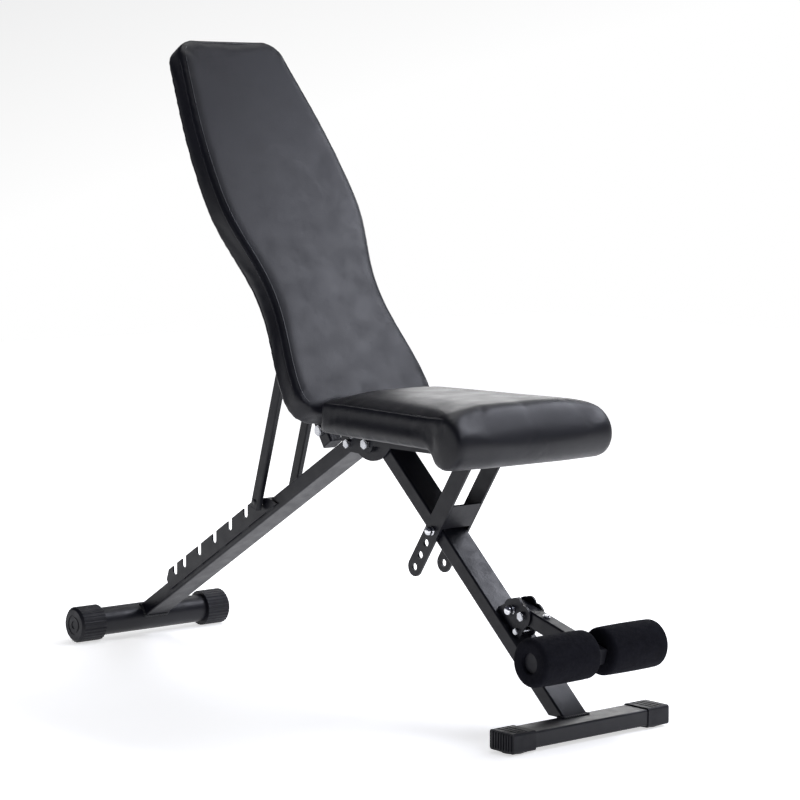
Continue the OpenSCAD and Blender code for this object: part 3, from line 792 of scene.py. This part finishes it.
def cap_rib(x, y, z, wide, deep, tall):
    """A small moulded rib with softened edges, centred on (x, y, z)."""
    shape = bmesh.new()
    bmesh.ops.create_cube(shape, size=1)
    bmesh.ops.scale(shape, vec=(wide, deep, tall), verts=shape.verts)
    bmesh.ops.translate(shape, vec=(x, y, z), verts=shape.verts)
    bmesh.ops.bevel(shape, geom=shape.edges, offset=0.0004, segments=2, affect="EDGES")
    mesh = bpy.data.meshes.new("rib")
    shape.to_mesh(mesh)
    shape.free()
    mesh.materials.append(moulded_plastic)
    piece = bpy.data.objects.new("rib", mesh)
    bpy.context.scene.collection.objects.link(piece)
    return piece


def make_cap_ribs():
    low, high = (Vector(corner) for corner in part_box("front_base_caps"))
    middle = (low + high) / 2
    ribs = []
    for hand in (-1, 1):
        for i in range(8):
            y = middle[1] + (i - 3.5) * 0.0056
            ribs.append(cap_rib(hand * high[0], y, middle[2], 0.0034, 0.0034, 0.0245))
        for i in range(3):
            x = hand * (high[0] - 0.012 - 0.009 * i)
            ribs.append(cap_rib(x, middle[1], high[2], 0.0040, 0.042, 0.0016))
    place(joined("front_cap_ribs", ribs), "front_frame", "black_plastic")


# ------------------------------------------------------------------ welds


def make_welds():
    mm = 0.001
    leg_low, leg_high = (Vector(corner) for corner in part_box("front_leg"))
    base_high = Vector(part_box("front_base")[1])
    half = leg_high[0]
    top = base_high[2]
    rear_edge = base_high[1]
    toe = leg_low[1]
    run = [Vector((half, rear_edge, top)), Vector((half, toe, top)), Vector((-half, toe, top)),
           Vector((-half, rear_edge, top))]
    weld("front_base_weld", "front_frame", run, radius=0.0024)

    foot = centre("rear_base")
    hinge = joint_at["rear_leg_fold"]
    tube_r = (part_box("rear_base")[1][2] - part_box("rear_base")[0][2]) / 2
    down = flat(foot + Vector((0, 6.8 * mm, 0)) - hinge)
    up = turned(down)
    depth = 12.5 * mm                    # half the leg tube's thickness

    def meets_tube(x, n):
        """Where the line along the leg at x and n runs into the rear floor tube."""
        start = hinge + side * x + up * n - foot
        start[0] = 0
        along = -start.dot(down) - sqrt(start.dot(down) ** 2 - start.dot(start) + tube_r ** 2)
        return foot + side * x + start + down * along

    ring = [meets_tube(half, -depth + 2 * depth * i / 8) for i in range(9)]
    ring += [meets_tube(-half, depth - 2 * depth * i / 8) for i in range(9)]
    weld("rear_base_weld", "rear_frame", ring + ring[:1], radius=0.0026)

    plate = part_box("ladder_plates")[1][0]
    first = (centre("support_pin") - hinge).dot(down)
    stitch = 26                          # mm, length of each short weld along a plate
    runs = []
    for hand in (-1, 1):
        for start in (-25, 55, 135, 215, 280):
            a, b = first + start * mm, first + (start + stitch) * mm
            line = hinge + side * hand * (plate - 2.6 * mm) - up * 3.6 * mm
            runs.append([line + down * a, line + down * b])
    weld("ladder_welds", "rear_frame", *runs, radius=0.0012)

    pivot = joint_at["support_swing"]
    inner = (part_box("support_legs")[1][0] - 11 * mm)
    rings = []
    for hand in (-1, 1):
        rings.append([pivot + side * hand * inner + Vector((0, 8.2 * mm * cos(a), 8.2 * mm * sin(a)))
                      for a in (radians(20 * i) for i in range(19))])
    weld("support_sleeve_welds", "support_frame", *rings, radius=0.0015)


def make_floor():
    bpy.ops.mesh.primitive_plane_add(size=14, location=(0, 0, -0.0002))
    floor = bpy.context.object
    floor.name = "floor"
    floor.data.materials.append(pale_floor)


make_camera()
make_light()
make_floor()
paint_frame()
make_back_pad()
make_seat_pad()
for hand in (-1, 1):
    make_roller(hand)
make_support_pin()
make_pull_pin("seat_pull_pin", "seat_lock_pin", "seat_pin", 0.0078, 0.0109)
make_pull_pin("holder_pull_pin", "holder_pin", "leg_holder_pin", 0.0083, 0.0119,
              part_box("holder_tube")[1][0] + 0.0005)
make_cap_ribs()
make_welds()
